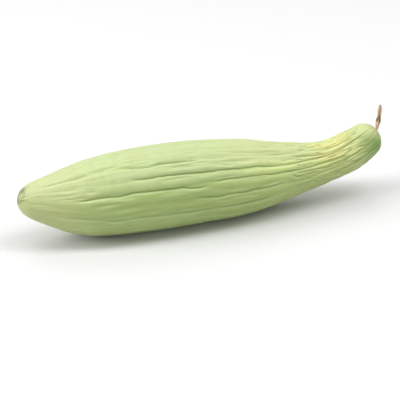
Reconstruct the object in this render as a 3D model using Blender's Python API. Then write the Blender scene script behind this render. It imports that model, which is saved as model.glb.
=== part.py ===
"""A whole Armenian cucumber as picked, with its dried stem, lying on a flat surface.

Metres, +Z up. +X runs from the blossom end to the stem end. The surface is z = 0, and the
origin is on the flat spot that the fruit rests on, under its middle.
"""

from bisect import bisect_right
from math import atan2, cos, exp, pi, radians, sin, sqrt

import bmesh
import bpy
from mathutils import Vector

MM = 0.001

# The fruit's length, and its axis as (share of the span, millimetres).
SPAN = 328 * MM
REST_SHARE = 0.43
AXIS_HEIGHT = [(0, 39.9), (0.15, 34.6), (0.3, 35.1), (0.45, 35.2), (0.6, 33.3), (0.72, 33.2),
               (0.84, 34.8), (0.93, 41.8), (1, 53.5)]
AXIS_SWAY = [(0, 3), (0.15, 1), (0.35, -0.5), (0.55, -0.5), (0.72, 0.5), (0.84, 3), (0.93, 7), (1, 11)]

# The radius over the ribs as (share of the span, millimetres), and how far each end takes to round off.
GIRTH = [(0, 16), (0.04, 17), (0.08, 22), (0.12, 27.2), (0.18, 32.4), (0.3, 36.1), (0.45, 36.2),
         (0.6, 33.1), (0.72, 25.6), (0.83, 19.5), (0.92, 18.8), (1, 14.4)]
BLOSSOM_ROUNDING = 0.055
STEM_ROUNDING = 0.032

# The furrows that part the ribs, in order round the fruit. Each has three angles and three depths in
# millimetres, at the blossom end, the middle and the stem end. An angle is in degrees from straight
# down towards -Y. The rib between the last and the first furrow faces down, and takes the weight.
# The middle is a stretch of the span.
FURROW_MIDDLE = (0.45, 0.68)
FURROWS = [
    ((12, 12, 20), (0.8, 1.0, 1.2)),
    ((36, 35, 42), (0.8, 1.0, 1.2)),
    ((55, 53, 63), (0.4, 0.9, 1.2)),
    ((80, 72, 88), (1.4, 1.8, 1.4)),
    ((97, 91, 112), (0.3, 1.3, 1.9)),
    ((109, 111, 124), (1.3, 2.2, 1.8)),
    ((134, 126, 148), (0.5, 1.9, 1.9)),
    ((143, 138, 155), (0.2, 0.8, 0.3)),
    ((150, 147, 163), (1.4, 1.5, 1.2)),
    ((167, 163, 176), (0.6, 1.0, 0.8)),
    ((185, 183, 195), (1.2, 1.4, 0.9)),
    ((203, 202, 213), (1.0, 1.2, 0.8)),
    ((220, 220, 231), (1.2, 2.1, 1.4)),
    ((239, 238, 250), (0.5, 1.3, 1.6)),
    ((256, 256, 268), (1.5, 1.8, 1.3)),
    ((275, 275, 285), (0.7, 1.2, 1.5)),
    ((292, 294, 303), (1.2, 2.0, 1.7)),
    ((312, 313, 322), (0.8, 1.4, 1.3)),
    ((332, 332, 341), (1.2, 1.6, 1.6)),
    ((350, 351, 359), (0.7, 1.0, 1.3)),
]

# Each furrow ripples sideways and swells deeper, so many times along the span.
RIPPLE = radians(1.2)
RIPPLES = 3.7
SWELL = 0.2
SWELLS = 2.3

# Half of a furrow's depth is a sharp crease, and the rest is a soft hollow to the middle of the rib.
CREASE_SHARE = 0.5
CREASE_WIDTH = 1.5 * MM
FULL_DEPTH_RADIUS = 17 * MM
BLOSSOM_FADE = 0.22

# The scar that the flower leaves is a shallow dimple, a little above the end of the axis.
SCAR_RADIUS = 6.5 * MM
SCAR_DEPTH = 1.0 * MM
SCAR_RISE = 4.5 * MM

# The mesh: vertex columns in each rib, two of them close to the furrows, and rings along the fruit.
RIB_COLUMNS = [0, 0.13, 0.37, 0.63, 0.87]
FRUIT_RINGS = 54

# The stem's line from the bottom of its socket, as millimetres from the fruit's end, and its radius.
STEM_LINE = [(-3, -0.5, -1.5), (0, 0, 0), (0.7, 0.3, 2.8), (1.4, 0.4, 8.4), (2.1, 0.4, 13.9),
             (2.6, 0.5, 19.2), (2.7, 0.7, 24.4)]
STEM_RADIUS = [(0, 1.9), (0.1, 1.8), (0.24, 1.3), (0.3, 1.25), (0.39, 1.6), (0.5, 2.1), (0.57, 2.05),
               (0.67, 1.6), (0.82, 1.8), (0.93, 1.35), (1, 0.7)]
STEM_ROUNDING_IN = 0.02
STEM_ROUNDING_OUT = 0.05
STEM_RIDGES = 5
STEM_RIDGE_HEIGHT = 0.13
STEM_TWIST = radians(70)
STEM_COLUMNS = 30
STEM_RINGS = 28

SOCKET_RADIUS = 2.4 * MM
SOCKET_DEPTH = 4 * MM
SOCKET_SIDES = 20


def smooth(table, at):
    """The value at a place in a table of (place, value), on a smooth curve through its rows."""
    places = [row[0] for row in table]
    values = [row[1] for row in table]
    i = min(max(bisect_right(places, at) - 1, 0), len(table) - 2)

    def slope(j):
        before, after = max(j - 1, 0), min(j + 1, len(table) - 1)
        return (values[after] - values[before]) / (places[after] - places[before])

    step = places[i + 1] - places[i]
    t = (at - places[i]) / step
    return ((2 * t**3 - 3 * t**2 + 1) * values[i] + (t**3 - 2 * t**2 + t) * step * slope(i)
            + (3 * t**2 - 2 * t**3) * values[i + 1] + (t**3 - t**2) * step * slope(i + 1))


def rounded(distance, length):
    """From 0 at a body's end to 1 a length away from it, as a ball rounds off."""
    return sqrt(max(1 - max(1 - distance / length, 0) ** 2, 0))


def ease(value, full):
    """From 0 to 1 as a value goes from 0 to full, level at both ends."""
    t = min(max(value / full, 0), 1)
    return t * t * (3 - 2 * t)


# The fruit

def axis_point(share):
    return Vector((
        (share - REST_SHARE) * SPAN,
        smooth(AXIS_SWAY, share) * MM,
        smooth(AXIS_HEIGHT, share) * MM,
    ))


def across(direction):
    """The two unit vectors square to a direction: the lower one, and the one towards -Y."""
    front = direction.cross(Vector((0, 0, -1))).normalized()
    if front.y > 0:
        front.negate()
    down = front.cross(direction).normalized()
    if down.z > 0:
        down.negate()
    return down, front


def axis_direction(share):
    step = 0.002
    low, high = max(share - step, 0), min(share + step, 1)
    return (axis_point(high) - axis_point(low)).normalized()


def girth(share):
    ends = rounded(share, BLOSSOM_ROUNDING) * rounded(1 - share, STEM_ROUNDING)
    return smooth(GIRTH, share) * MM * ends


def between_ends(values, share):
    """The value at a share of the span, from those at the blossom end, the middle and the stem end."""
    blossom, middle, stem = values
    start, stop = FURROW_MIDDLE
    to_middle = (middle - blossom) * ease(share, start)
    to_stem = (stem - middle) * ease(share - stop, 1 - stop)
    return blossom + to_middle + to_stem


def furrow_angle(number, share):
    """The furrow's angle round the fruit. Numbers past the last go round again."""
    turns, index = divmod(number, len(FURROWS))
    ripple = RIPPLE * sin(2 * pi * RIPPLES * share + 1.9 * index)
    return radians(between_ends(FURROWS[index][0], share)) + 2 * pi * turns + ripple


def furrow_depth(number, share, radius):
    index = number % len(FURROWS)
    swell = 1 + SWELL * sin(2 * pi * SWELLS * share + 2.1 * index)
    thin = min(radius / FULL_DEPTH_RADIUS, 1)
    depth = between_ends(FURROWS[index][1], share) * MM
    return depth * swell * thin * ease(share, BLOSSOM_FADE)


def furrow_section(place, width):
    """A furrow's depth at a place across a rib, from 1 at the furrow: a sharp crease in a soft hollow."""
    crease = exp(-place * width / CREASE_WIDTH)
    hollow = max(1 - 2 * place, 0) ** 2
    return CREASE_SHARE * crease + (1 - CREASE_SHARE) * hollow


def scar_depth(radius, angle):
    """How deep the scar is at a distance from the axis and an angle round it."""
    from_middle = radius**2 + SCAR_RISE**2 + 2 * radius * SCAR_RISE * cos(angle)
    return SCAR_DEPTH * max(1 - from_middle / SCAR_RADIUS**2, 0)


def skin_point(share, rib, place):
    """A point on the skin: its share of the span, its rib, and its place from 0 to 1 across that rib."""
    radius = girth(share)
    low, high = furrow_angle(rib, share), furrow_angle(rib + 1, share)
    angle = low + (high - low) * place
    width = (high - low) * radius
    cut = (furrow_depth(rib, share, radius) * furrow_section(place, width)
           + furrow_depth(rib + 1, share, radius) * furrow_section(1 - place, width))
    direction = axis_direction(share)
    down, front = across(direction)
    point = axis_point(share) + (down * cos(angle) + front * sin(angle)) * (radius - cut)
    if share < BLOSSOM_ROUNDING:
        point += direction * scar_depth(radius, angle)
    point.z = max(point.z, 0)
    return point


def ball(columns, rings):
    """A closed ball, and each vertex's share of the way from pole to pole and its column."""
    mesh = bmesh.new()
    bmesh.ops.create_uvsphere(mesh, u_segments=columns, v_segments=rings, radius=1)
    places = []
    for vertex in mesh.verts:
        turn = atan2(vertex.co.y, vertex.co.x) / (2 * pi)
        places.append((vertex, (1 - vertex.co.z) / 2, round(turn * columns) % columns))
    return mesh, places


def finished(name, mesh, material):
    """The mesh as a smooth object of the part."""
    bmesh.ops.recalc_face_normals(mesh, faces=mesh.faces)
    data = bpy.data.meshes.new(name)
    mesh.to_mesh(data)
    mesh.free()
    data.materials.append(material)
    data.shade_smooth()
    data.set_sharp_from_angle(angle=radians(50))
    made = bpy.data.objects.new(name, data)
    part.objects.link(made)
    return made


def painted(name, colour, roughness):
    material = bpy.data.materials.new(name)
    material.use_nodes = True
    shader = material.node_tree.nodes["Principled BSDF"]
    shader.inputs["Base Color"].default_value = (*colour, 1)
    shader.inputs["Roughness"].default_value = roughness
    shader.inputs["Metallic"].default_value = 0
    return material


def make_fruit():
    mesh, places = ball(len(FURROWS) * len(RIB_COLUMNS), FRUIT_RINGS)
    for vertex, share, column in places:
        rib, step = divmod(column, len(RIB_COLUMNS))
        vertex.co = skin_point(share, rib, RIB_COLUMNS[step])
    return finished("fruit", mesh, painted("skin", (0.55, 0.68, 0.33), 0.45))


# The stem, and the socket in the fruit that it grows from

def stem_point(share):
    place = share * (len(STEM_LINE) - 1)
    line = [smooth([(i, row[side]) for i, row in enumerate(STEM_LINE)], place) * MM for side in range(3)]
    return axis_point(1) + Vector(line)


def make_stem():
    mesh, places = ball(STEM_COLUMNS, STEM_RINGS)
    step = 0.01
    for vertex, share, column in places:
        direction = (stem_point(min(share + step, 1)) - stem_point(max(share - step, 0))).normalized()
        angle = 2 * pi * column / STEM_COLUMNS
        ridge = 1 + STEM_RIDGE_HEIGHT * cos(STEM_RIDGES * angle + STEM_TWIST * share * STEM_RIDGES)
        ends = rounded(share, STEM_ROUNDING_IN) * rounded(1 - share, STEM_ROUNDING_OUT)
        radius = smooth(STEM_RADIUS, share) * MM * ends * (1 + (ridge - 1) * ease(share - 0.1, 0.2))
        side = direction.cross(Vector((0, 1, 0))).normalized()
        other = direction.cross(side)
        vertex.co = stem_point(share) + (side * cos(angle) + other * sin(angle)) * radius
    return finished("stem", mesh, painted("dry_stem", (0.42, 0.27, 0.13), 0.8))


def cut_socket(fruit):
    direction = axis_direction(1)
    bpy.ops.mesh.primitive_cylinder_add(
        vertices=SOCKET_SIDES,
        radius=SOCKET_RADIUS,
        depth=2 * SOCKET_DEPTH,
        location=axis_point(1),
        rotation=direction.to_track_quat("Z", "Y").to_euler(),
    )
    cutter = bpy.context.object
    cutter.name = "socket_cutter"
    cutter.hide_render = True
    cutter.display_type = "WIRE"
    for holder in list(cutter.users_collection):
        holder.objects.unlink(cutter)
    cutters.objects.link(cutter)
    cut = fruit.modifiers.new("socket", "BOOLEAN")
    cut.operation = "DIFFERENCE"
    cut.object = cutter


for old in list(bpy.data.objects):
    bpy.data.objects.remove(old)
part = bpy.data.collections.new("armenian_cucumber")
cutters = bpy.data.collections.new("cutters")
for collection in (part, cutters):
    bpy.context.scene.collection.children.link(collection)

cut_socket(make_fruit())
make_stem()
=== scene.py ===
from bisect import bisect_right
from math import cos, pi, radians, sin, sqrt

import bpy
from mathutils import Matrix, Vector


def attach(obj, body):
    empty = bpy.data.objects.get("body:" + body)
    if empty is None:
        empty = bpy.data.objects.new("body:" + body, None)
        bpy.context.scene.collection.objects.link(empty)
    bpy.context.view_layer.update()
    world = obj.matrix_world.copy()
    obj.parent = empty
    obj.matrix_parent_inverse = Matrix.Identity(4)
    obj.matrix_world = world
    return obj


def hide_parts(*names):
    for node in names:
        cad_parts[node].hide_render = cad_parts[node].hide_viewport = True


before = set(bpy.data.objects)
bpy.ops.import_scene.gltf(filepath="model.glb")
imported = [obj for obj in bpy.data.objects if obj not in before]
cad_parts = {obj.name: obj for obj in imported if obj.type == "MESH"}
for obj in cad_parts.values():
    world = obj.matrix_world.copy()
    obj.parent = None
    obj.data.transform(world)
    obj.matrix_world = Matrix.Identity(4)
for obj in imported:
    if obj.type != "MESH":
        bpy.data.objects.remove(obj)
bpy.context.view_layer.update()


# The fruit
# One grown piece of crisp flesh under a thin waxy skin. Ribs run from end to end, parted by creased
# furrows. It narrows to the neck that it hung by, and the flower left a dry scar on the other end.

MM = 0.001

# Its length, the share of it at which it rests, its axis, and its radius over the ribs. The tables are
# rows of (share of the span, millimetres).
SPAN = 328 * MM
REST_SHARE = 0.43
AXIS_HEIGHT = [(0, 39.9), (0.15, 34.6), (0.3, 35.1), (0.45, 35.2), (0.6, 33.3), (0.72, 33.2),
               (0.84, 34.8), (0.93, 41.8), (1, 53.5)]
AXIS_SWAY = [(0, 3), (0.15, 1), (0.35, -0.5), (0.55, -0.5), (0.72, 0.5), (0.84, 3), (0.93, 7), (1, 11)]
GIRTH = [(0, 16), (0.04, 17), (0.08, 22), (0.12, 27.2), (0.18, 32.4), (0.3, 36.1), (0.45, 36.2),
         (0.6, 33.1), (0.72, 25.6), (0.83, 19.5), (0.92, 18.8), (1, 14.4)]

# How much of the span each end rounds off over.
BLOSSOM_ROUNDING = 0.055
STEM_ROUNDING = 0.032

# Each furrow's three angles in degrees from straight down towards -Y, and its three depths in
# millimetres, at the blossom end, the middle and the stem end.
FURROWS = [
    ((12, 12, 20), (0.8, 1.0, 1.2)),
    ((36, 35, 42), (0.8, 1.0, 1.2)),
    ((55, 53, 63), (0.4, 0.9, 1.2)),
    ((80, 72, 88), (1.4, 1.8, 1.4)),
    ((97, 91, 112), (0.3, 1.3, 1.9)),
    ((109, 111, 124), (1.3, 2.2, 1.8)),
    ((134, 126, 148), (0.5, 1.9, 1.9)),
    ((143, 138, 155), (0.2, 0.8, 0.3)),
    ((150, 147, 163), (1.4, 1.5, 1.2)),
    ((167, 163, 176), (0.6, 1.0, 0.8)),
    ((185, 183, 195), (1.2, 1.4, 0.9)),
    ((203, 202, 213), (1.0, 1.2, 0.8)),
    ((220, 220, 231), (1.2, 2.1, 1.4)),
    ((239, 238, 250), (0.5, 1.3, 1.6)),
    ((256, 256, 268), (1.5, 1.8, 1.3)),
    ((275, 275, 285), (0.7, 1.2, 1.5)),
    ((292, 294, 303), (1.2, 2.0, 1.7)),
    ((312, 313, 322), (0.8, 1.4, 1.3)),
    ((332, 332, 341), (1.2, 1.6, 1.6)),
    ((350, 351, 359), (0.7, 1.0, 1.3)),
]

# The stretch of the span where the middle values hold.
FURROW_MIDDLE = (0.45, 0.68)

# The creases in the furrows of the side that faces -Y, each as its strength from 0 to 1 and its line,
# as (share of the span, angle in degrees). These furrows' numbers are counted from 0.
CREASED_FURROWS = range(2, 12)
CREASES = [
    (1.0, [(0.115, 109), (0.16, 110.5), (0.2, 112), (0.235, 110), (0.27, 112.5), (0.3, 111.3),
           (0.34, 110.3), (0.39, 109), (0.43, 106), (0.475, 107.5)]),
    (0.8, [(0.455, 110), (0.5, 112.5), (0.55, 113.5), (0.6, 113.5), (0.64, 112), (0.68, 112.5),
           (0.72, 111), (0.76, 112), (0.8, 116), (0.83, 114), (0.86, 116.5), (0.9, 118)]),
    (0.9, [(0.25, 131), (0.3, 128.5), (0.34, 128.5), (0.38, 128), (0.42, 127), (0.46, 126), (0.5, 127),
           (0.55, 126), (0.6, 127.5), (0.64, 125), (0.68, 125), (0.72, 126), (0.76, 129), (0.8, 131),
           (0.83, 132.5), (0.85, 134.5), (0.87, 138), (0.89, 140), (0.92, 145), (0.945, 147.5)]),
    (0.6, [(0.03, 146.5), (0.06, 148.5), (0.1, 149), (0.15, 150), (0.19, 152.5)]),
    (0.8, [(0.24, 149.5), (0.29, 146), (0.32, 144), (0.345, 146.5), (0.38, 146), (0.43, 145),
           (0.47, 144)]),
    (0.5, [(0.47, 157), (0.5, 156), (0.55, 153), (0.6, 151), (0.65, 151.5), (0.71, 150.5)]),
    (0.8, [(0.79, 150), (0.82, 152), (0.85, 153), (0.88, 155), (0.91, 153), (0.94, 155)]),
    (0.4, [(0.48, 139.5), (0.52, 138.5), (0.57, 137.5), (0.61, 139)]),
    (0.8, [(0.69, 141), (0.74, 139), (0.79, 138), (0.82, 137), (0.845, 135)]),
    (0.4, [(0.62, 147), (0.66, 146.5), (0.72, 147)]),
    (0.8, [(0.09, 78.5), (0.14, 78.5), (0.18, 78), (0.21, 74), (0.24, 73), (0.28, 75), (0.31, 74.5),
           (0.345, 73), (0.38, 73), (0.42, 71.5), (0.46, 72.5), (0.5, 72), (0.54, 71), (0.6, 72),
           (0.66, 71)]),
    (0.3, [(0.19, 92), (0.23, 91.5), (0.27, 91.8), (0.31, 91)]),
    (0.8, [(0.405, 92.8), (0.45, 91.5), (0.49, 89.5), (0.52, 91.5), (0.56, 91), (0.59, 93),
           (0.64, 92), (0.7, 94)]),
    (0.8, [(0.69, 106.5), (0.73, 104.5), (0.76, 105), (0.8, 103), (0.83, 106), (0.86, 107.5),
           (0.88, 107), (0.91, 109), (0.945, 111)]),
    (0.35, [(0.49, 97.5), (0.53, 97), (0.57, 96.5)]),
    (0.4, [(0.012, 131), (0.03, 130), (0.055, 131)]),
    (0.4, [(0.012, 116), (0.03, 114), (0.06, 113)]),
    (0.25, [(0.17, 50), (0.22, 52), (0.27, 51)]),
    (0.25, [(0.3, 60), (0.34, 59), (0.38, 60)]),
    (0.5, [(0.7, 86), (0.75, 88), (0.8, 92), (0.85, 96), (0.9, 99), (0.95, 100)]),
    (0.5, [(0.62, 58), (0.7, 60), (0.78, 64), (0.86, 70), (0.93, 72)]),
]

# The neck's wrinkles are shorter, closer and more crooked than the other short creases.
NECK_WRINKLES = {
    "From Share": 0.71, "To Share": 0.95, "Shortest": 4 * MM, "Longest": 16 * MM,
    "Least Rise": 0.25 * MM, "Wander": 9 * MM, "Tilt": radians(35),
}
NECK_SEED_STEP = 7

# What a furrow's number adds to its ripple, its swell and its random values, so that no two match.
RIPPLE_STEP = 1.9
SWELL_STEP = 2.1
WANDER_STEP = 7.3
FADING_STEP = 5.1

# The radius of the tube that the skin is unrolled from.
UNROLLED_RADIUS = 36 * MM

# The mesh's rings and columns, the stretch at each end where its rings crowd, and the distance within
# which points are made one.
SKIN_RINGS = 200
SKIN_COLUMNS = 480
CROWDED_ENDS = 0.08
WELD_DISTANCE = 0.01 * MM

# How long a whole piece is in the random patterns, which see it as a tube with a radius of 1.
PATTERN_LENGTH = 3.0


def smooth(table, at):
    """The value at a place in a table of (place, value), on a smooth curve through its rows."""
    places = [row[0] for row in table]
    values = [row[1] for row in table]
    i = min(max(bisect_right(places, at) - 1, 0), len(table) - 2)

    def slope(j):
        before, after = max(j - 1, 0), min(j + 1, len(table) - 1)
        return (values[after] - values[before]) / (places[after] - places[before])

    step = places[i + 1] - places[i]
    t = (at - places[i]) / step
    return ((2 * t**3 - 3 * t**2 + 1) * values[i] + (t**3 - 2 * t**2 + t) * step * slope(i)
            + (3 * t**2 - 2 * t**3) * values[i + 1] + (t**3 - t**2) * step * slope(i + 1))


def rounded(distance, length):
    """From 0 at a body's end to 1 a length away from it, as a ball rounds off."""
    return sqrt(max(1 - max(1 - distance / length, 0) ** 2, 0))


def axis_point(share):
    """The place on the fruit's axis at a share of the span."""
    return Vector((
        (share - REST_SHARE) * SPAN,
        smooth(AXIS_SWAY, share) * MM,
        smooth(AXIS_HEIGHT, share) * MM,
    ))


def girth(share):
    """The radius over the ribs at a share of the span."""
    ends = rounded(share, BLOSSOM_ROUNDING) * rounded(1 - share, STEM_ROUNDING)
    return smooth(GIRTH, share) * MM * ends


def crowded(step):
    """A share of the span for a step from 0 to 1, evenly spread but for both ends, which crowd."""
    near = min(step, 1 - step)
    share = near - CROWDED_ENDS / 2 if near > CROWDED_ENDS else near**2 / (2 * CROWDED_ENDS)
    share /= 1 - CROWDED_ENDS
    return share if step < 0.5 else 1 - share


def spine(name, count, point_at, radius_at):
    """A line for a body to be swept along, with its radius at each point."""
    data = bpy.data.curves.new(name, "CURVE")
    data.dimensions = "3D"
    data.twist_mode = "Z_UP"
    line = data.splines.new("POLY")
    line.points.add(count - 1)
    for i, place in enumerate(line.points):
        share = crowded(i / (count - 1))
        place.co = (*point_at(share), 1)
        place.radius = radius_at(share)
    made = bpy.data.objects.new(name, data)
    bpy.context.scene.collection.objects.link(made)
    return made


def furrow_rows():
    """The table of furrows as one point for each, which the fruit's tree draws a line from."""
    data = bpy.data.meshes.new("furrow_rows")
    data.from_pydata([(0, 0, 0)] * len(FURROWS), [], [])
    for name, kind in (("angles", "FLOAT_VECTOR"), ("depths", "FLOAT_VECTOR"),
                       ("number", "FLOAT"), ("creased", "FLOAT")):
        data.attributes.new(name, kind, "POINT")
    kept = data.attributes
    for i, (three_angles, three_depths) in enumerate(FURROWS):
        kept["angles"].data[i].vector = [radians(angle) for angle in three_angles]
        kept["depths"].data[i].vector = [depth * MM for depth in three_depths]
        kept["number"].data[i].value = i
        kept["creased"].data[i].value = i in CREASED_FURROWS
    made = bpy.data.objects.new("furrow_rows", data)
    bpy.context.scene.collection.objects.link(made)
    return made


def crease_lines():
    """The table of creases as lines on the skin unrolled flat, each with its strength as its radius."""
    data = bpy.data.curves.new("crease_lines", "CURVE")
    data.dimensions = "3D"
    for strength, places in CREASES:
        line = data.splines.new("POLY")
        line.points.add(len(places) - 1)
        for point, (share, angle) in zip(line.points, places):
            point.co = (radians(angle) * UNROLLED_RADIUS, share * SPAN, 0, 1)
            point.radius = strength
    made = bpy.data.objects.new("crease_lines", data)
    bpy.context.scene.collection.objects.link(made)
    return made


def pick(sockets, place):
    """A node's socket by its number, or the first one in use with its name."""
    if isinstance(place, int):
        return sockets[place]
    return next(each for each in sockets if each.enabled and each.name == place)


def feed(made, inputs):
    """Gives a node its inputs. Each is a value, or a field that is linked to it."""
    for place, value in inputs.items():
        socket = pick(made.inputs, place)
        if isinstance(value, Field):
            made.id_data.links.new(value.socket, socket)
        else:
            socket.default_value = value


def node(tree, kind, inputs=None, **settings):
    """Adds a node to a tree, with its settings and then its inputs."""
    made = tree.nodes.new(kind)
    for name, value in settings.items():
        setattr(made, name, value)
    feed(made, inputs or {})
    return made


class Field:
    """A number, vector, colour or shape that a node puts out. Arithmetic adds nodes to its tree."""

    def __init__(self, made, place=0):
        self.tree = made.id_data
        self.socket = pick(made.outputs, place)

    def maths(self, operation, *others):
        made = node(self.tree, "ShaderNodeMath", dict(enumerate((self, *others))), operation=operation)
        return Field(made)

    def vector_maths(self, operation, *others):
        made = node(self.tree, "ShaderNodeVectorMath", dict(enumerate((self, *others))),
                    operation=operation)
        return Field(made, "Value" if operation in ("DOT_PRODUCT", "LENGTH", "DISTANCE") else "Vector")

    def __add__(self, other):
        return self.maths("ADD", other)

    def __sub__(self, other):
        return self.maths("SUBTRACT", other)

    def __mul__(self, other):
        return self.maths("MULTIPLY", other)

    def __truediv__(self, other):
        return self.maths("DIVIDE", other)

    def least(self, other):
        return self.maths("MINIMUM", other)

    def most(self, other):
        return self.maths("MAXIMUM", other)

    def wave(self):
        return self.maths("SINE")

    def falling(self, width):
        """From 1 at 0 towards 0, by the exponential rule."""
        return (self / width * -1).maths("EXPONENT")

    def ease(self, low, high, start=0.0, end=1.0):
        """From start to end as the field goes from low to high, level at both."""
        made = node(self.tree, "ShaderNodeMapRange", {
            "Value": self, "From Min": low, "From Max": high, "To Min": start, "To Max": end,
        }, interpolation_type="SMOOTHSTEP")
        return Field(made)

    def along(self, other):
        """A vector plus another one."""
        return self.vector_maths("ADD", other)

    def scaled(self, amount):
        """A vector made so many times as long."""
        made = node(self.tree, "ShaderNodeVectorMath", {0: self, "Scale": amount}, operation="SCALE")
        return Field(made)

    def parts(self):
        """A vector's three numbers."""
        made = node(self.tree, "ShaderNodeSeparateXYZ", {0: self})
        return [Field(made, i) for i in range(3)]


def vector(tree, x, y, z):
    return Field(node(tree, "ShaderNodeCombineXYZ", {"X": x, "Y": y, "Z": z}))


def noise(place, scale, detail=2.0, roughness=0.5):
    """Smooth random values from 0 to 1, with so many swells to a unit of place."""
    made = node(place.tree, "ShaderNodeTexNoise", {
        "Vector": place, "Scale": scale, "Detail": detail, "Roughness": roughness,
    })
    return Field(made)


SOCKETS = {
    "shape": "NodeSocketGeometry",
    "object": "NodeSocketObject",
    "material": "NodeSocketMaterial",
    "whole": "NodeSocketInt",
    "number": "NodeSocketFloat",
    "vector": "NodeSocketVector",
    "colour": "NodeSocketColor",
}


def new_tree(name, kind, inputs, outputs):
    """A node tree with named sockets: the tree, its inputs as fields by name, and its output node."""
    tree = bpy.data.node_groups.new(name, kind)
    for label, (form, value) in inputs.items():
        made = tree.interface.new_socket(label, in_out="INPUT", socket_type=SOCKETS[form])
        if value is not None:
            made.default_value = value
    for label, form in outputs.items():
        tree.interface.new_socket(label, in_out="OUTPUT", socket_type=SOCKETS[form])
    start = tree.nodes.new("NodeGroupInput")
    end = tree.nodes.new("NodeGroupOutput")
    return tree, {label: Field(start, label) for label in inputs}, end


def put_out(end, **fields):
    """Links fields to a tree's outputs, in the outputs' order."""
    for socket, field in zip(end.inputs, fields.values()):
        end.id_data.links.new(field.socket, socket)


def use_group(tree, group, inputs, kind="GeometryNodeGroup"):
    """Adds a group to a tree as a node."""
    return node(tree, kind, inputs, node_tree=group)


def position(tree):
    """Where each point of the shape that is being worked on lies."""
    return Field(tree.nodes.new("GeometryNodeInputPosition"))


def captured(shape, items):
    """A node that keeps fields on a shape's points. Each item's name is given its form and its field."""
    made = shape.tree.nodes.new("GeometryNodeCaptureAttribute")
    for label, (form, _) in items.items():
        made.capture_items.new(form, label)
    feed(made, {"Geometry": shape, **{label: field for label, (_, field) in items.items()}})
    return made


def swept_body_group():
    """A tube swept along a spine with its radius, and where each of its points lies on that spine."""
    tree, given, end = new_tree("Swept Body", "GeometryNodeTree", {
        "Spine": ("object", None),
        "Columns": ("whole", 64),
    }, {
        "Mesh": "shape", "Axis": "vector", "Ahead": "vector", "Outward": "vector",
        "Angle": "number", "Radius": "number", "Length Share": "number",
    })
    line = Field(node(tree, "GeometryNodeObjectInfo", {"Object": given["Spine"]}), "Geometry")
    line_radius = Field(tree.nodes.new("GeometryNodeInputRadius"))
    kept = captured(line, {
        "Axis": ("VECTOR", position(tree)),
        "Ahead": ("VECTOR", Field(tree.nodes.new("GeometryNodeInputTangent"))),
        "Radius": ("FLOAT", line_radius),
        "Length Share": ("FLOAT", Field(tree.nodes.new("GeometryNodeSplineParameter"))),
    })
    line, axis, ahead, radius, length_share = (
        Field(kept, label) for label in ("Geometry", "Axis", "Ahead", "Radius", "Length Share"))
    ring = node(tree, "GeometryNodeCurvePrimitiveCircle", {
        "Resolution": given["Columns"], "Radius": 1.0,
    })
    tube = node(tree, "GeometryNodeCurveToMesh", {
        "Curve": line, "Profile Curve": Field(ring, "Curve"), "Scale": line_radius,
    })
    outward = position(tree).vector_maths("SUBTRACT", axis).vector_maths("NORMALIZE")
    front = vector(tree, 0.0, 0.0, -1.0).vector_maths("CROSS_PRODUCT", ahead).vector_maths("NORMALIZE")
    down = ahead.vector_maths("CROSS_PRODUCT", front)
    angle = outward.vector_maths("DOT_PRODUCT", front).maths(
        "ARCTAN2", outward.vector_maths("DOT_PRODUCT", down))
    put_out(end, mesh=Field(tube), axis=axis, ahead=ahead, outward=outward, angle=angle,
            radius=radius, length_share=length_share)
    return tree


def between_ends(values, share, middle):
    """A field at a share of the span, from its values at the blossom end, in the middle and at the stem
    end. The middle is a stretch of the span."""
    blossom, mid, stem = values.parts()
    first, last, _ = middle.parts()
    return blossom + (mid - blossom) * share.ease(0.0, first) + (stem - mid) * share.ease(last, 1.0)


def named(tree, name, form="FLOAT"):
    """An attribute of the shape that is being worked on."""
    made = node(tree, "GeometryNodeInputNamedAttribute", {"Name": name}, data_type=form)
    return Field(made, "Attribute")


def moved(shape, place):
    """The shape with each of its points at a new place."""
    return Field(node(shape.tree, "GeometryNodeSetPosition", {"Geometry": shape, "Position": place}))


def joined(tree, shapes):
    """Several shapes as one."""
    made = tree.nodes.new("GeometryNodeJoinGeometry")
    for shape in shapes:
        tree.links.new(shape.socket, made.inputs[0])
    return Field(made)


def all_round(lines, unrolled_radius):
    """Lines on the unrolled skin with a copy a full turn to each side, so that none stops at its edge."""
    turns = [vector(lines.tree, unrolled_radius * (2 * pi * turn), 0.0, 0.0) for turn in (-1, 0, 1)]
    return joined(lines.tree, [
        Field(node(lines.tree, "GeometryNodeTransform", {"Geometry": lines, "Translation": turn}))
        for turn in turns])


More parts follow.
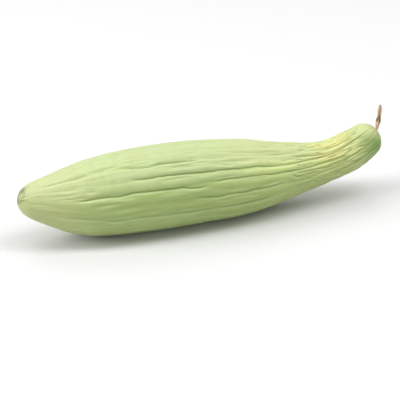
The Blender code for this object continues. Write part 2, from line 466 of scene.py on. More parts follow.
def furrow_lines_group():
    """The furrows as lines on the skin unrolled flat: X is the way round, and Y the way along. The same
    lines come out again as creases, which rise off the skin where they fade."""
    tree, given, end = new_tree("Furrow Lines", "GeometryNodeTree", {
        "Rows": ("object", None),
        "Unrolled Radius": ("number", UNROLLED_RADIUS),
        "Span": ("number", SPAN),
        "Middle": ("vector", (*FURROW_MIDDLE, 0)),
        "Ripple": ("number", radians(1.2)),
        "Ripples": ("number", 3.7),
        "Wander": ("number", 4 * MM),
        "Wanders": ("number", 13.0),
        "Fadings": ("number", 9.0),
        "Rise": ("number", 5 * MM),
    }, {"Lines": "shape", "Creases": "shape"})
    rows = Field(node(tree, "GeometryNodeObjectInfo", {"Object": given["Rows"]}), "Geometry")
    stations = 160
    line = node(tree, "GeometryNodeMeshLine", {"Count": stations, "Offset": (0, 1 / (stations - 1), 0)})
    spread = node(tree, "GeometryNodeInstanceOnPoints", {"Points": rows, "Instance": Field(line)})
    lines = Field(node(tree, "GeometryNodeRealizeInstances", {"Geometry": Field(spread)}))
    share = position(tree).parts()[1]
    number = named(tree, "number")
    ripple = (share * given["Ripples"] * (2 * pi) + number * RIPPLE_STEP).wave() * given["Ripple"]
    angle = between_ends(named(tree, "angles", "FLOAT_VECTOR"), share, given["Middle"]) + ripple
    around = angle * given["Unrolled Radius"]
    along = share * given["Span"]
    lines = moved(stored(lines, "along", share), vector(tree, around, along, 0.0))
    share = named(tree, "along")
    x, y, _ = position(tree).parts()
    wander = noise(vector(tree, share * given["Wanders"], number * WANDER_STEP, 0.0), 1.0, 2.0) - 0.5
    wander = wander * given["Wander"]
    fading = noise(vector(tree, share * given["Fadings"], number * FADING_STEP, 3.0), 1.0, 1.0)
    fading = fading.ease(0.45, 0.6, 1.0, 0.15)
    rise = fading.most(named(tree, "creased")) * given["Rise"]
    creases = moved(lines, vector(tree, x + wander, y, rise))
    put_out(end, lines=all_round(lines, given["Unrolled Radius"]),
            creases=all_round(creases, given["Unrolled Radius"]))
    return tree


NATURAL_BASE = 2.718


def drawn_creases_group():
    """Creases along drawn lines. Each rises off the skin by how weak it is, and more at both ends."""
    tree, given, end = new_tree("Drawn Creases", "GeometryNodeTree", {
        "Lines": ("object", None),
        "Step": ("number", 1.5 * MM),
        "Width": ("number", 1.0 * MM),
        "Fade": ("number", 14 * MM),
        "Rise": ("number", 4 * MM),
        "Wander": ("number", 1.6 * MM),
    }, {"Creases": "shape"})
    lines = Field(node(tree, "GeometryNodeObjectInfo", {"Object": given["Lines"]}), "Geometry")
    lines = Field(node(tree, "GeometryNodeCurveSplineType", {"Curve": lines}, spline_type="CATMULL_ROM"))
    lines = Field(node(tree, "GeometryNodeResampleCurve", {"Curve": lines, "Length": given["Step"]},
                       mode="LENGTH"))
    strength = Field(tree.nodes.new("GeometryNodeInputRadius"))
    weakness = strength.maths("LOGARITHM", NATURAL_BASE) * given["Width"] * -1.0
    gone = Field(tree.nodes.new("GeometryNodeSplineParameter"), "Length")
    whole = Field(tree.nodes.new("GeometryNodeSplineLength"), "Length")
    fade = (gone.least(whole - gone) / given["Fade"] * -1.0 + 1.0).most(0.0).maths("POWER", 2.0)
    place = position(tree)
    x, y, _ = place.parts()
    wander = (noise(place, 150.0, 1.0) - 0.5) * given["Wander"]
    lines = moved(lines, vector(tree, x + wander, y, weakness + fade * given["Rise"]))
    put_out(end, creases=Field(node(tree, "GeometryNodeCurveToMesh", {"Curve": lines})))
    return tree


def short_creases_group():
    """Short creases scattered over the skin unrolled flat. Each rises off it, and more at both ends."""
    tree, given, end = new_tree("Short Creases", "GeometryNodeTree", {
        "Count": ("whole", 300),
        "Seed": ("whole", 4),
        "Unrolled Radius": ("number", UNROLLED_RADIUS),
        "Span": ("number", SPAN),
        "From Share": ("number", 0.03),
        "To Share": ("number", 0.97),
        "Shortest": ("number", 10 * MM),
        "Longest": ("number", 45 * MM),
        "Least Rise": ("number", 1.0 * MM),
        "Rise": ("number", 3 * MM),
        "Wander": ("number", 4 * MM),
        "Tilt": ("number", radians(4)),
    }, {"Creases": "shape"})
    dots = Field(node(tree, "GeometryNodePoints", {"Count": given["Count"]}))

    def draw(low, high, seed_step):
        chance = node(tree, "FunctionNodeRandomValue", {
            "Min": low, "Max": high, "Seed": given["Seed"] + seed_step,
        })
        return Field(chance, "Value")

    around = draw(-pi, pi, 1) * given["Unrolled Radius"]
    along = draw(given["From Share"], given["To Share"], 2) * given["Span"]
    dots = moved(dots, vector(tree, around, along, 0.0))
    stations = 24
    line = node(tree, "GeometryNodeMeshLine", {
        "Count": stations, "Start Location": (0, -0.5, 0), "Offset": (0, 1 / (stations - 1), 0),
    })
    kept = captured(Field(line), {"Step": ("VECTOR", position(tree))})
    spread = node(tree, "GeometryNodeInstanceOnPoints", {
        "Points": dots,
        "Instance": Field(kept, "Geometry"),
        "Rotation": vector(tree, 0.0, 0.0, draw(given["Tilt"] * -1.0, given["Tilt"], 4)),
        "Scale": vector(tree, 1.0, draw(given["Shortest"], given["Longest"], 3), 1.0),
    })
    lines = Field(node(tree, "GeometryNodeRealizeInstances", {"Geometry": Field(spread)}))
    step = Field(kept, "Step").parts()[1].maths("ABSOLUTE") * 2.0
    place = position(tree)
    x, y, _ = place.parts()
    wander = (noise(place, 60.0, 2.0) - 0.5) * given["Wander"]
    rise = step.maths("POWER", 3.0) * given["Rise"] + given["Least Rise"]
    put_out(end, creases=moved(lines, vector(tree, x + wander, y, rise)))
    return tree


def distance_to(lines, place):
    """How far a place on the unrolled skin is from the nearest line."""
    return Field(node(place.tree, "GeometryNodeProximity", {
        "Geometry": lines, "Sample Position": place,
    }, target_element="EDGES"), "Distance")


def of_nearest(lines, place, name, form):
    """An attribute of the line that is nearest to a place."""
    index = Field(node(place.tree, "GeometryNodeSampleNearest", {
        "Geometry": lines, "Sample Position": place,
    }, domain="POINT"))
    return Field(node(place.tree, "GeometryNodeSampleIndex", {
        "Geometry": lines, "Value": named(place.tree, name, form), "Index": index,
    }, data_type=form, domain="POINT"))


def stored(shape, name, field, form="FLOAT"):
    """The shape with a field kept on its points, for its material to read."""
    made = node(shape.tree, "GeometryNodeStoreNamedAttribute", {
        "Geometry": shape, "Name": name, "Value": field,
    }, data_type=form, domain="POINT")
    return Field(made)


class Skin:
    """What the fruit's tree reads at each place on the skin, as fields."""

    def __init__(self, tree, given, body):
        self.tree = tree
        self.axis = Field(body, "Axis")
        self.ahead = Field(body, "Ahead")
        self.outward = Field(body, "Outward")
        self.angle = Field(body, "Angle")
        self.radius = Field(body, "Radius")
        self.share = self.axis.parts()[0] / given["Span"] + given["Rest Share"]
        self.down = self.angle.maths("COSINE")
        self.across = self.angle.wave()
        self.round_place = vector(tree, self.down, self.across, self.share * PATTERN_LENGTH)
        around = self.angle * given["Unrolled Radius"]
        self.flat_place = vector(tree, around, self.share * given["Span"], 0.0)
        self.narrowing = self.radius / given["Unrolled Radius"]
        self.thin = (self.radius / given["Full Depth Radius"]).least(1.0)


def soft_hollow(given, skin, furrows):
    """How near a place is to the nearest furrow, from 0 on top of the rib to 1, and that furrow's depth."""
    depths = of_nearest(furrows, skin.flat_place, "depths", "FLOAT_VECTOR")
    number = of_nearest(furrows, skin.flat_place, "number", "FLOAT")
    swell = (skin.share * given["Swells"] * (2 * pi) + number * SWELL_STEP).wave() * given["Swell"] + 1.0
    depth = between_ends(depths, skin.share, given["Furrow Middle"]) * swell * skin.thin
    depth = depth * skin.share.ease(0.0, given["Blossom Fade"])
    depth = depth * skin.share.ease(given["Stem Fade"], 1.0, 1.0, given["Stem Depth Share"])
    distance = distance_to(furrows, skin.flat_place) * skin.narrowing
    rib_half = skin.radius * (pi / len(FURROWS))
    hollow = (distance / rib_half * -1.0 + 1.0).most(0.0).maths("POWER", 2.0)
    return hollow, depth


def all_creases(tree, given, in_furrows):
    """The creases in the furrows, the drawn ones, the short ones, and the wrinkles of the neck."""
    drawn = use_group(tree, drawn_creases_group(), {
        "Lines": given["Crease Lines"], "Width": given["Crease Width"],
    })
    short_creases = short_creases_group()
    skin_sizes = {"Unrolled Radius": given["Unrolled Radius"], "Span": given["Span"]}
    short = use_group(tree, short_creases, {
        "Count": given["Short Creases"], "Seed": given["Seed"], **skin_sizes,
        "Least Rise": given["Short Crease Rise"],
    })
    on_neck = use_group(tree, short_creases, {
        "Count": given["Neck Creases"], "Seed": given["Seed"] + NECK_SEED_STEP, **skin_sizes,
        **NECK_WRINKLES,
    })
    creases = joined(tree, [in_furrows, Field(drawn), Field(short), Field(on_neck)])
    return all_round(creases, given["Unrolled Radius"])


def crease_section(given, skin, creases):
    """How deep the creases cut, with a raised lip below each. How far a place is from their upper sides and
    how near to a lip it is come with it, for the painted shade above each crease and the painted highlight
    on its lip."""

    def beside(offset):
        return distance_to(creases, skin.flat_place.along(vector(skin.tree, offset, 0.0, 0.0)))

    far = distance_to(creases, skin.flat_place) * skin.narrowing
    from_shade = beside(skin.across * given["Shade Offset"] * -1.0) * skin.narrowing
    lip = (beside(skin.across * given["Lip Offset"]) * skin.narrowing).falling(given["Lip Width"])
    lip = lip * skin.across.maths("ABSOLUTE")
    crease = far.falling(given["Crease Width"]) * given["Crease Depth"]
    shoulder = far.falling(given["Shoulder Width"]) * given["Shoulder Depth"]
    return crease + shoulder - lip * given["Lip Height"], from_shade, lip


def lumps_and_wrinkles(given, skin):
    """Low lumps and fine wrinkles, as what they take off the radius."""
    lumps = noise(skin.round_place, 4.0, 3.0) * given["Lump Height"] * skin.thin
    around, across, along = (part * given["Wrinkles"] for part in (skin.down, skin.across, skin.share))
    wrinkles = noise(vector(skin.tree, around, across, along), 1.0, 2.0)
    return lumps + wrinkles * given["Wrinkle Height"] * skin.thin


def end_dimples(given, skin):
    """How far the skin goes in along the axis, at the flower's scar and in the pit that the stem stands
    in, and how far a place is from the middle of the scar."""
    above = skin.radius * skin.down + given["Scar Rise"]
    beside = skin.radius * skin.across - given["Scar Turn"]
    from_scar = vector(skin.tree, above, beside, 0.0).vector_maths("LENGTH")
    in_scar = from_scar / given["Scar Radius"]
    scar = (in_scar * in_scar * -1.0 + 1.0).most(0.0) * skin.share.ease(0.03, 0.1, 1.0, 0.0)
    pit = (skin.radius / given["Pit Radius"]).ease(0.5, 1.0, 1.0, 0.0) * skin.share.ease(0.9, 1.0)
    return scar * given["Scar Depth"] - pit * given["Pit Depth"], from_scar


def welded(mesh):
    """The mesh with the points of each pole made one."""
    return Field(node(mesh.tree, "GeometryNodeMergeByDistance", {
        "Geometry": mesh, "Distance": WELD_DISTANCE,
    }))


def dressed(mesh, material):
    """The mesh as each piece's tree puts it out: smooth, real and with its material."""
    mesh = Field(node(mesh.tree, "GeometryNodeSetShadeSmooth", {"Geometry": mesh}))
    mesh = Field(node(mesh.tree, "GeometryNodeRealizeInstances", {"Geometry": mesh}))
    return Field(node(mesh.tree, "GeometryNodeSetMaterial", {"Geometry": mesh, "Material": material}))


def ribbed_fruit_tree(swept_body):
    """The fruit's skin: the swept body with its furrows, creases, lumps, scar and pit cut into it."""
    tree, given, end = new_tree("Ribbed Fruit", "GeometryNodeTree", {
        "Spine": ("object", None),
        "Furrow Rows": ("object", None),
        "Crease Lines": ("object", None),
        "Columns": ("whole", SKIN_COLUMNS),
        "Span": ("number", SPAN),
        "Rest Share": ("number", REST_SHARE),
        "Unrolled Radius": ("number", UNROLLED_RADIUS),
        "Furrow Middle": ("vector", (*FURROW_MIDDLE, 0)),
        "Furrow Share": ("number", 0.5),
        "Swell": ("number", 0.2),
        "Swells": ("number", 2.3),
        "Full Depth Radius": ("number", 17 * MM),
        "Blossom Fade": ("number", 0.22),
        "Stem Fade": ("number", 0.87),
        "Stem Depth Share": ("number", 0.35),
        "Crease Depth": ("number", 1.2 * MM),
        "Crease Width": ("number", 0.9 * MM),
        # Where the painted shade above each crease is centred, and where the raised lip below it sits,
        # which also carries a painted highlight.
        "Shade Offset": ("number", 0.5 * MM),
        "Lip Offset": ("number", 1.5 * MM),
        "Lip Width": ("number", 0.7 * MM),
        "Lip Height": ("number", 0.4 * MM),
        "Shoulder Depth": ("number", 0.5 * MM),
        "Shoulder Width": ("number", 2.6 * MM),
        "Short Creases": ("whole", 300),
        "Short Crease Rise": ("number", 0.7 * MM),
        "Neck Creases": ("whole", 210),
        "Lump Height": ("number", 0.7 * MM),
        "Wrinkle Height": ("number", 0.3 * MM),
        "Wrinkles": ("number", 14.0),
        "Scar Radius": ("number", 8.5 * MM),
        "Scar Depth": ("number", 1.0 * MM),
        "Scar Rise": ("number", 4.5 * MM),
        "Scar Turn": ("number", 2.5 * MM),
        "Pit Radius": ("number", 2.3 * MM),
        "Pit Depth": ("number", 3 * MM),
        "Full Furrow Depth": ("number", 2 * MM),
        "Seed": ("whole", 4),
        "Material": ("material", None),
    }, {"Geometry": "shape"})
    body = use_group(tree, swept_body, {"Spine": given["Spine"], "Columns": given["Columns"]})
    skin = Skin(tree, given, body)
    rows = use_group(tree, furrow_lines_group(), {
        "Rows": given["Furrow Rows"], "Unrolled Radius": given["Unrolled Radius"],
        "Span": given["Span"], "Middle": given["Furrow Middle"],
    })
    hollow, depth = soft_hollow(given, skin, Field(rows, "Lines"))
    creases = all_creases(tree, given, Field(rows, "Creases"))
    section, from_shade, lip = crease_section(given, skin, creases)
    plain_ends = skin.share.ease(0.0, 0.18, 0.15, 1.0) * skin.share.ease(0.93, 0.98, 1.0, 0.3)
    cut = depth * hollow * given["Furrow Share"] + section * skin.thin * plain_ends
    inward, from_scar = end_dimples(given, skin)

    radius = skin.radius - cut - lumps_and_wrinkles(given, skin)
    place = skin.axis.along(skin.outward.scaled(radius)).along(skin.ahead.scaled(inward))
    x, y, z = place.parts()
    mesh = welded(moved(Field(body, "Mesh"), vector(tree, x, y, z.most(0.0))))
    mesh = stored(mesh, "share", skin.share)
    # For the material's painted shade above each crease and painted highlight on each lip.
    mesh = stored(mesh, "from_shade", from_shade)
    mesh = stored(mesh, "lip", lip * plain_ends)
    mesh = stored(mesh, "from_scar", from_scar + skin.share.ease(0.05, 0.2) * 0.1)
    mesh = stored(mesh, "hollow", hollow * (depth / given["Full Furrow Depth"]))
    mesh = stored(mesh, "round_place", skin.round_place, "FLOAT_VECTOR")
    put_out(end, geometry=dressed(mesh, given["Material"]))
    return tree


def made_by_tree(name, tree, inputs):
    """The plain mesh object that a tree makes from its inputs, which are given by name."""
    host = bpy.data.objects.new(name + "_host", bpy.data.meshes.new(name + "_host"))
    bpy.context.scene.collection.objects.link(host)
    modifier = host.modifiers.new(name, "NODES")
    modifier.node_group = tree
    sockets = [each for each in tree.interface.items_tree if each.in_out == "INPUT"]
    identifiers = {each.name: each.identifier for each in sockets}
    for label, value in inputs.items():
        modifier[identifiers[label]] = value
    depsgraph = bpy.context.evaluated_depsgraph_get()
    data = bpy.data.meshes.new_from_object(host.evaluated_get(depsgraph), depsgraph=depsgraph)
    data.name = name
    made = bpy.data.objects.new(name, data)
    bpy.context.scene.collection.objects.link(made)
    bpy.data.objects.remove(host)
    return made


# The middle of the fruit's stem end, where the stem stands.
STEM_POLE = axis_point(1)

# The colours of the skin and of its marks. The underside greens, the crease greens and the stem's pit brown
# are painted shade, the stem end's green is partly painted shade, and the lip green is a painted highlight.
TIP_GREEN = (0.45, 0.49, 0.24)
BELLY_GREEN = (0.42, 0.50, 0.23)
NECK_GREEN = (0.50, 0.55, 0.245)
PALE_GREEN = (0.66, 0.75, 0.29)
# The two underside greens are painted shade.
TIP_UNDERSIDE_SHADE_GREEN = (0.35, 0.39, 0.14)
UNDERSIDE_SHADE_GREEN = (0.26, 0.36, 0.075)
NECK_YELLOW = (0.63, 0.60, 0.21)
STREAK_GREEN = (0.46, 0.58, 0.28)
MOTTLE_GREEN = (0.28, 0.40, 0.10)
PATCH_TAN = (0.41, 0.41, 0.16)
FURROW_GREEN = (0.27, 0.41, 0.095)
LIP_HIGHLIGHT_GREEN = (0.60, 0.71, 0.35)
CREASE_SHADE_GREEN = (0.13, 0.20, 0.04)
NECK_CREASE_SHADE_OLIVE = (0.24, 0.23, 0.03)
STEM_END_GREEN_AND_SHADE = (0.11, 0.22, 0.02)
COLLAR_TAN = (0.46, 0.40, 0.17)
STEM_PIT_SHADE_BROWN = (0.18, 0.17, 0.06)
SCAR_SPOKE_BROWN = (0.16, 0.18, 0.05)
SCAR_RIM_BROWN = (0.075, 0.085, 0.035)


def mixed(factor, first, second):
    """A colour between two, by a field from 0 to 1."""
    first, second = (each if isinstance(each, Field) else (*each, 1) for each in (first, second))
    made = node(factor.tree, "ShaderNodeMix", {
        "Factor": factor, "A": first, "B": second,
    }, data_type="RGBA")
    return Field(made, "Result")


def attribute(tree, name, place="Fac"):
    """An attribute that the piece's tree kept, for its material."""
    return Field(node(tree, "ShaderNodeAttribute", attribute_name=name), place)


def new_material(name):
    """A material, and the surface shader that it starts with."""
    material = bpy.data.materials.new(name)
    material.use_nodes = True
    return material, material.node_tree.nodes["Principled BSDF"]


def dry_cork_group():
    """The grain of dry corky tissue, as on the scar and on the stem."""
    tree, given, end = new_tree("Dry Cork", "ShaderNodeTree", {
        "Place": ("vector", None),
        "Scale": ("number", 300.0),
        "Pale": ("colour", (0.5, 0.36, 0.2, 1)),
        "Dark": ("colour", (0.12, 0.07, 0.04, 1)),
    }, {"Color": "colour", "Height": "number"})
    grain = noise(given["Place"].scaled(given["Scale"]), 1.0, 4.0, 0.6)
    put_out(end, color=mixed(grain.ease(0.35, 0.65), given["Dark"], given["Pale"]), height=grain)
    return tree


class SkinPlace:
    """What the skin's material reads at a place on it, as fields."""

    def __init__(self, tree):
        self.tree = tree
        self.share = attribute(tree, "share")
        self.hollow = attribute(tree, "hollow")
        self.lip = attribute(tree, "lip")
        self.from_shade = attribute(tree, "from_shade")
        self.round_place = attribute(tree, "round_place", "Vector")
        self.down, self.across, self.along = self.round_place.parts()
        self.place = Field(tree.nodes.new("ShaderNodeTexCoord"), "Object")
        self.mottle = noise(self.place, 160.0, 4.0, 0.6)
        self.ragged = (noise(self.place, 420.0, 2.0) - 0.5) * (3 * MM)

    def pattern(self, around, along, detail):
        """Random values that are drawn out along the fruit."""
        stretched = vector(self.tree, self.down * around, self.across * around, self.along * along)
        return noise(stretched, 2.0, detail)


def ground_colour(at):
    """The skin's colour: pale green, paler along the upper flanks towards the neck, darker and greener on
    the underside, which is painted shade, and yellow round the neck.
    """
    from_tip = at.share.ease(0.02, 0.24)
    colour = mixed(from_tip, TIP_GREEN, BELLY_GREEN)
    colour = mixed(at.share.ease(0.4, 0.7), colour, NECK_GREEN)
    pale = at.share.ease(0.5, 0.7) * at.share.ease(0.84, 0.92, 1.0, 0.0)
    pale = pale * at.down.ease(-0.4, -0.15, 1.0, 0.0) * at.down.ease(-0.8, -0.6)
    pale = pale * noise(at.round_place, 2.5, 2.0).ease(0.3, 0.5, 0.6, 1.0)
    colour = mixed(pale, colour, PALE_GREEN)
    # Painted shade: the lower side of the fruit is made darker and greener.
    underside = at.down.ease(-0.75, -0.1) * at.share.ease(0.85, 0.95, 1.0, 0.4)
    colour = mixed(underside * 0.75, colour, mixed(from_tip, TIP_UNDERSIDE_SHADE_GREEN, UNDERSIDE_SHADE_GREEN))
    yellow = noise(at.round_place, 3.0, 3.0).ease(0.3, 0.6)
    yellow = yellow * at.share.ease(0.74, 0.82) * at.share.ease(0.88, 0.95, 1.0, 0.0)
    return mixed(yellow * at.down.ease(-0.6, 0.1, 1.0, 0.2), colour, NECK_YELLOW)


def with_markings(at, colour):
    """Pale streaks, green mottling and faint tan patches."""
    streaks = at.pattern(5.0, 1.6, 4.0).ease(0.4, 0.7)
    colour = mixed(streaks * 0.35, colour, STREAK_GREEN)
    colour = mixed(at.mottle.ease(0.5, 0.8) * 0.3, colour, MOTTLE_GREEN)
    tan = noise(at.place, 110.0, 3.0, 0.6).ease(0.5, 0.68)
    tan = tan * at.share.ease(0.04, 0.12) * at.share.ease(0.25, 0.5, 1.0, 0.15)
    return mixed(tan * 0.4, colour, PATCH_TAN)


def with_creases(at, colour):
    """Greener furrows, a pale painted highlight on the lip below each crease, and a dark painted shade
    above it, which is olive on the neck."""
    colour = mixed(at.hollow.ease(0.0, 1.0) * 0.25, colour, FURROW_GREEN)
    # Painted highlight: the lip below each crease is made paler, as if lit from above.
    colour = mixed(at.lip * at.share.ease(0.2, 0.5, 0.75, 0.5), colour, LIP_HIGHLIGHT_GREEN)
    neck = at.share.ease(0.7, 0.8) * at.share.ease(0.9, 0.97, 1.0, 0.0)
    # Painted shade: the upper side of each crease is darkened, as if it faced away from the light.
    shade = at.from_shade.ease(0.0, 1.0 * MM, 0.6, 0.0) * at.share.ease(0.08, 0.45, 0.4, 1.0)
    return mixed(shade, colour, mixed(neck, CREASE_SHADE_GREEN, NECK_CREASE_SHADE_OLIVE))


def with_stem_end(at, colour):
    """The dark green end of the neck below the stem, partly the skin's deeper green and partly painted
    shade, with a ragged tan collar and a dark foot round the stem, which is painted shade in its pit.
    """
    above_stem = at.place.parts()[2] - STEM_POLE.z
    from_stem = at.place.vector_maths("DISTANCE", tuple(STEM_POLE))
    # Partly the skin's deeper green by the stem, partly painted shade on the end's lower side.
    green_end_and_shade = from_stem.ease(14 * MM, 44 * MM, 0.9, 0.0) * above_stem.ease(-6 * MM, 7 * MM, 1.0, 0.1)
    collar = (from_stem + at.ragged).ease(7 * MM, 18 * MM, 1.0, 0.0)
    collar = collar * above_stem.ease(-9 * MM, 5 * MM, 0.15, 1.0)
    # Painted shade: darkened close round the stem, in the pit that it stands in.
    foot = from_stem.ease(2.5 * MM, 5.5 * MM, 0.7, 0.0)
    colour = mixed(green_end_and_shade, colour, STEM_END_GREEN_AND_SHADE)
    colour = mixed(collar * 0.85, colour, COLLAR_TAN)
    return mixed(foot, colour, STEM_PIT_SHADE_BROWN)


def with_scar(at, colour, cork):
    """The flower's scar: a little cork, dark spokes round it, and a dark rim that is widest at the back."""
    y = at.place.parts()[1]
    from_scar = attribute(at.tree, "from_scar") + at.ragged
    scar = from_scar.ease(5 * MM, 7 * MM, 1.0, 0.0)
    spokes = noise(vector(at.tree, at.down * 7.0, at.across * 7.0, 0.0), 1.0, 2.0).ease(0.45, 0.58)
    spokes = spokes * from_scar.ease(5 * MM, 11 * MM, 1.0, 0.0)
    rim_edge = y.ease(-5 * MM, 5 * MM, 4 * MM, 6.5 * MM)
    rim = from_scar.ease(2.4 * MM, 4 * MM) * (from_scar - rim_edge).ease(0.0, 2 * MM, 1.0, 0.0)
    rim = rim * y.ease(-4 * MM, 7 * MM, 0.25, 1.0)
    rim = rim * noise(at.place, 700.0, 2.0).ease(0.3, 0.55, 0.6, 1.0)
    colour = mixed(scar * 0.2, colour, cork)
    colour = mixed(spokes * 0.7, colour, SCAR_SPOKE_BROWN)
    return mixed(rim * 0.85, colour, SCAR_RIM_BROWN)


def waxy_skin(dry_cork):
    """Satin wax over the skin's colours, uneven and finely bumped, with a little light going in."""
    material, shader = new_material("waxy_skin")
    tree = material.node_tree
    at = SkinPlace(tree)
    cork = use_group(tree, dry_cork, {"Place": at.place, "Scale": 900.0}, "ShaderNodeGroup")
    colour = with_creases(at, with_markings(at, ground_colour(at)))
    colour = with_scar(at, with_stem_end(at, colour), Field(cork, "Color"))
    rough = noise(at.place, 260.0, 3.0)
    height = at.pattern(30.0, 6.0, 3.0) * 0.7 + rough * 0.5 + at.mottle * 0.8
    bump = node(tree, "ShaderNodeBump", {"Height": height, "Strength": 0.4, "Distance": 0.6 * MM})
    feed(shader, {
        "Base Color": colour,
        "Roughness": rough.ease(0.3, 0.7, 0.43, 0.55),
        "Normal": Field(bump),
        "Specular IOR Level": 0.45,
        "Sheen Weight": 0.2,
        "Sheen Roughness": 0.4,
        "Subsurface Weight": 0.08,
        "Subsurface Radius": (0.9, 1.0, 0.4),
        "Subsurface Scale": 0.8 * MM,
    })
    return material


swept_body = swept_body_group()
dry_cork = dry_cork_group()
fruit_spine = spine("fruit_spine", SKIN_RINGS, axis_point, girth)
rows = furrow_rows()
lines = crease_lines()
fruit = made_by_tree("ribbed_fruit", ribbed_fruit_tree(swept_body), {
    "Spine": fruit_spine,
    "Furrow Rows": rows,
    "Crease Lines": lines,
    "Material": waxy_skin(dry_cork),
})
bpy.data.objects.remove(fruit_spine)
bpy.data.objects.remove(rows)
bpy.data.objects.remove(lines)
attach(fruit, "root")
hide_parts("fruit")


# The stem
# The dried end of the stalk that the fruit hung by: woody, five-ridged and shrunken, with a swelling
# above the place where it has grown on to the neck, and broken off at the top.

# Its axis, as places seen from the middle of the fruit's stem end, and its radius, as rows of (share of
# its length, radius), all in millimetres.
STEM_LINE = [(-3, -0.5, -1.5), (0, 0, 0), (0.7, 0.3, 2.8), (1.4, 0.4, 8.4), (2.1, 0.4, 13.9),
             (2.6, 0.5, 19.2), (2.7, 0.7, 24.4)]
STEM_RADIUS = [(0, 1.9), (0.1, 1.8), (0.24, 1.3), (0.3, 1.25), (0.39, 1.6), (0.5, 2.1), (0.57, 2.05),
               (0.67, 1.6), (0.82, 1.8), (0.93, 1.35), (1, 0.7)]

# How much of its length each end rounds off over.
STEM_ROUNDING_IN = 0.02
STEM_ROUNDING_OUT = 0.05

STEM_RINGS = 120

# Dark dried patches, each as its place and its size. A place is how far right and how far to the front
# on a circle with a radius of 1, and the share of the stem's length times SPOT_LENGTH.
DARK_SPOTS = [
    ((-0.15, 1.0, 5.3), 0.9),
    ((0.45, 0.9, 4.1), 0.9),
    ((-0.9, 0.45, 4.5), 0.7),
    ((0.0, 1.0, 8.9), 0.7),
]
SPOT_LENGTH = 9.0

STALK_TAN = (0.60, 0.40, 0.25)
STALK_BROWN = (0.32, 0.21, 0.11)
STALK_STRAW = (0.66, 0.52, 0.29)
BROKEN_TOP_BROWN = (0.27, 0.22, 0.18)
SPOT_BROWN = (0.11, 0.075, 0.035)


def stem_point(share):
    """The place on the stem's axis at a share of its length."""
    row_place = share * (len(STEM_LINE) - 1)
    sides = [[(i, row[side]) for i, row in enumerate(STEM_LINE)] for side in range(3)]
    return STEM_POLE + Vector([smooth(table, row_place) * MM for table in sides])


def stem_radius(share):
    """The stem's radius at a share of its length."""
    ends = rounded(share, STEM_ROUNDING_IN) * rounded(1 - share, STEM_ROUNDING_OUT)
    return smooth(STEM_RADIUS, share) * MM * ends


def dried_stem_tree(swept_body):
    """The stem's bark: the swept body with its five twisted ridges and its wrinkles."""
    tree, given, end = new_tree("Dried Stem", "GeometryNodeTree", {
        "Spine": ("object", None),
        "Columns": ("whole", 64),
        "Ridges": ("number", 5.0),
        "Ridge Height": ("number", 0.13),
        "Twist": ("number", radians(70)),
        "Wrinkle Depth": ("number", 0.25 * MM),
        "Material": ("material", None),
    }, {"Geometry": "shape"})
    body = use_group(tree, swept_body, {"Spine": given["Spine"], "Columns": given["Columns"]})
    mesh, axis, outward, angle, radius, share = (
        Field(body, name) for name in ("Mesh", "Axis", "Outward", "Angle", "Radius", "Length Share"))
    ridge = ((angle + share * given["Twist"]) * given["Ridges"]).maths("COSINE") * given["Ridge Height"]
    ridge = ridge * share.ease(0.1, 0.3)
    round_place = vector(tree, angle.maths("COSINE"), angle.wave(), share * PATTERN_LENGTH)
    wrinkles = noise(round_place, 2.5, 3.0) * given["Wrinkle Depth"]
    mesh = welded(moved(mesh, axis.along(outward.scaled(radius + radius * ridge - wrinkles))))
    mesh = stored(mesh, "share", share)
    mesh = stored(mesh, "round_place", round_place, "FLOAT_VECTOR")
    put_out(end, geometry=dressed(mesh, given["Material"]))
    return tree


def dry_stalk(dry_cork):
    """Dry matt bark in tan and brown, straw-coloured at the foot, with dark patches."""
    material, shader = new_material("dry_stalk")
    tree = material.node_tree
    share = attribute(tree, "share")
    right, front, along = attribute(tree, "round_place", "Vector").parts()
    cork = use_group(tree, dry_cork, {
        "Place": vector(tree, right, front, along * 0.5),
        "Scale": 4.0,
        "Pale": (*STALK_TAN, 1),
        "Dark": (*STALK_BROWN, 1),
    }, "ShaderNodeGroup")
    straw = share.ease(0.36, 0.5, 0.75, 0.0) * right.ease(-0.2, 0.6, 1.0, 0.2)
    colour = mixed(straw, Field(cork, "Color"), STALK_STRAW)
    colour = mixed(share.ease(0.9, 0.97) * 0.7, colour, BROKEN_TOP_BROWN)
    spot_place = vector(tree, right, front, along * (SPOT_LENGTH / PATTERN_LENGTH))
    for spot, size in DARK_SPOTS:
        away = spot_place.vector_maths("DISTANCE", spot)
        colour = mixed(away.ease(size * 0.5, size, 0.85, 0.0), colour, SPOT_BROWN)
    bump = node(tree, "ShaderNodeBump", {
        "Height": Field(cork, "Height"), "Strength": 0.5, "Distance": 0.3 * MM,
    })
    feed(shader, {"Base Color": colour, "Roughness": 0.8, "Normal": Field(bump)})
    return material


stem_spine = spine("stem_spine", STEM_RINGS, stem_point, stem_radius)
stem = made_by_tree("dried_stem", dried_stem_tree(swept_body), {
    "Spine": stem_spine,
    "Material": dry_stalk(dry_cork),
})
bpy.data.objects.remove(stem_spine)
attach(stem, "root")
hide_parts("stem")


# The studio
# A white floor that runs on past the view, a long soft light overhead, one on each side, a weak one
# in front, one behind, and an even white sky.

FLOOR_SIZE = 8.0
FLOOR_GREY = 0.65
SKY_STRENGTH = 0.36

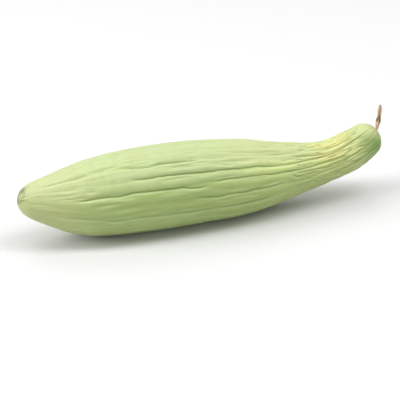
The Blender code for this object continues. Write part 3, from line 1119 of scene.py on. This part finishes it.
# Each soft light's azimuth and elevation in degrees, its distance, width and depth in metres, and watts.
SOFT_LIGHTS = {
    "overhead": (-20, 83, 2.5, 6.0, 0.8, 46),
    "right": (75, 52, 2.9, 0.8, 3.0, 32),
    "left": (-95, 29, 3.0, 1.6, 1.6, 64),
    "front": (-20, 18, 3.0, 1.6, 1.6, 11),
    "behind": (175, 50, 3.0, 3.0, 1.6, 28),
}

CAMERA_TARGET = Vector((0.0147, 0, 0.0171))
CAMERA_AZIMUTH = radians(-20)
CAMERA_ELEVATION = radians(25)
CAMERA_DISTANCE = 0.95
LENS_MM = 100
SENSOR_MM = 36


def direction_back(azimuth, elevation):
    """The unit vector from what is looked at towards the one who looks."""
    return Vector((sin(azimuth) * cos(elevation), -cos(azimuth) * cos(elevation), sin(elevation)))


def white_floor():
    bpy.ops.mesh.primitive_plane_add(size=FLOOR_SIZE)
    floor = bpy.context.object
    floor.name = "floor"
    material, shader = new_material("white_floor")
    feed(shader, {"Base Color": (FLOOR_GREY, FLOOR_GREY, FLOOR_GREY, 1), "Roughness": 0.9})
    floor.data.materials.append(material)


def soft_light(name, azimuth, elevation, distance, width, depth, power):
    data = bpy.data.lights.new(name, "AREA")
    data.shape = "RECTANGLE"
    data.size = width
    data.size_y = depth
    data.energy = power
    light = bpy.data.objects.new(name, data)
    back = direction_back(radians(azimuth), radians(elevation))
    light.location = back * distance
    light.rotation_mode = "QUATERNION"
    light.rotation_quaternion = back.to_track_quat("Z", "Y")
    bpy.context.scene.collection.objects.link(light)


def even_sky(strength):
    world = bpy.data.worlds.new("even_sky")
    world.use_nodes = True
    feed(world.node_tree.nodes["Background"], {"Color": (1, 1, 1, 1), "Strength": strength})
    bpy.context.scene.world = world


def camera():
    data = bpy.data.cameras.new("camera")
    data.lens = LENS_MM
    data.sensor_width = SENSOR_MM
    made = bpy.data.objects.new("camera", data)
    back = direction_back(CAMERA_AZIMUTH, CAMERA_ELEVATION)
    made.location = CAMERA_TARGET + back * CAMERA_DISTANCE
    made.rotation_mode = "QUATERNION"
    made.rotation_quaternion = back.to_track_quat("Z", "Y")
    bpy.context.scene.collection.objects.link(made)
    bpy.context.scene.camera = made


white_floor()
for name, values in SOFT_LIGHTS.items():
    soft_light(name, *values)
even_sky(SKY_STRENGTH)
camera()
bpy.context.scene.view_settings.view_transform = "Standard"
